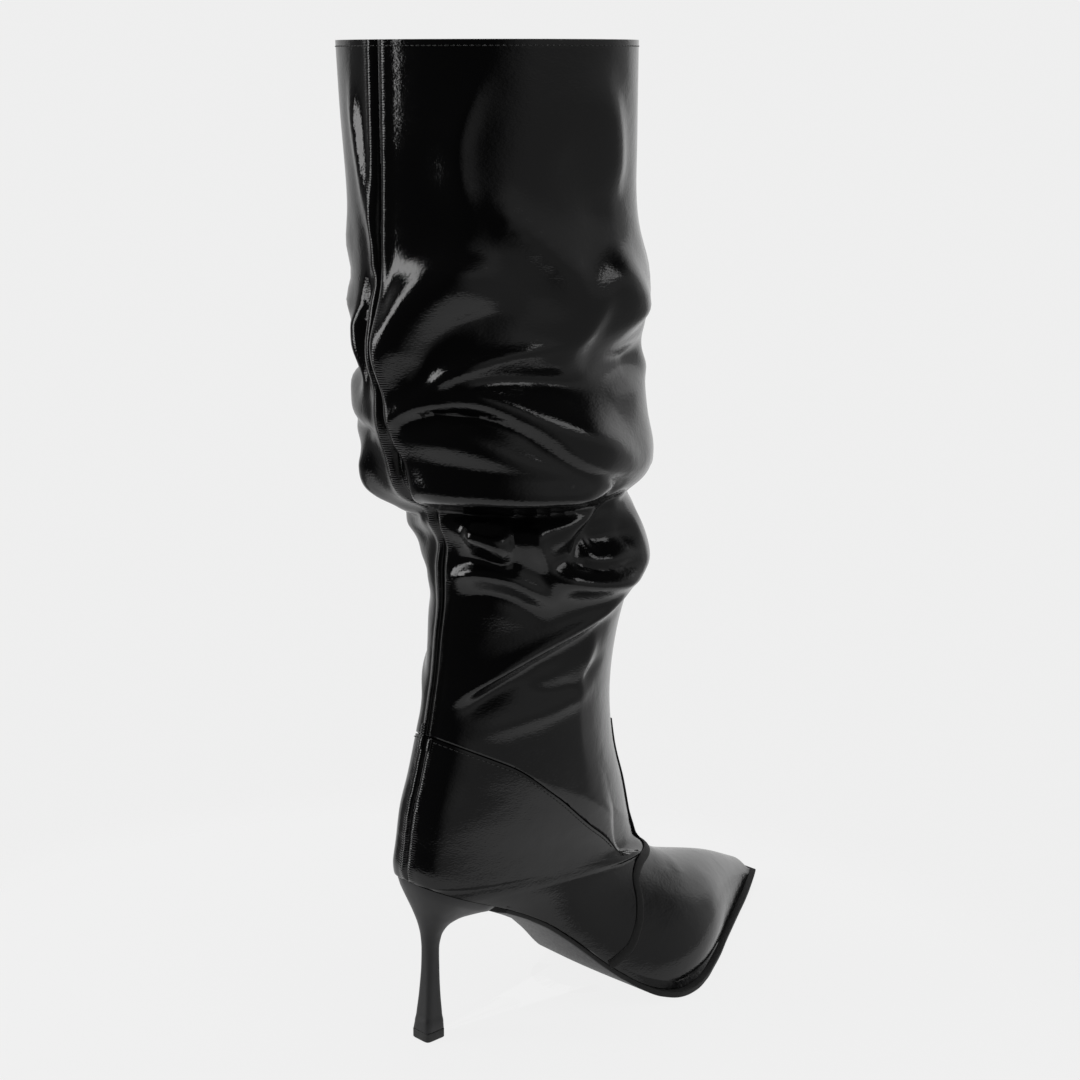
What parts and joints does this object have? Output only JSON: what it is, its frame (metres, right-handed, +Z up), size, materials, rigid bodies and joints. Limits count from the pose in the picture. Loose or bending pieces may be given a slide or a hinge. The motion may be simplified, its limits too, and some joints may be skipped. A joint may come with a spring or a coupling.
{
  "type": "high-heeled boot",
  "caption": "Slouchy knee-high right boot in black patent faux leather, with a snipped pointed toe, piped vamp and slim stiletto heel.",
  "frame": {"origin": "middle of the heel tip's worn face, on the floor", "axes": "+X runs to the toe, +Y to the inner side of the leg, +Z up the shaft"},
  "size_m": [0.2824, 0.1362, 0.4571],
  "materials": {
    "patent": "high-gloss patent faux leather",
    "sole": "satin",
    "lining": "soft matte lining",
    "heel_cover": "satin covered plastic",
    "tip": "matte top piece",
    "piping": "matte band"
  },
  "bodies": {
    "root": {"upper": "patent", "shaft": "patent", "outsole": "sole", "insole": "lining", "heel": "heel_cover", "heel_tip": "tip", "vamp_piping": "piping", "front_piping": "piping"}
  },
  "joints": []
}
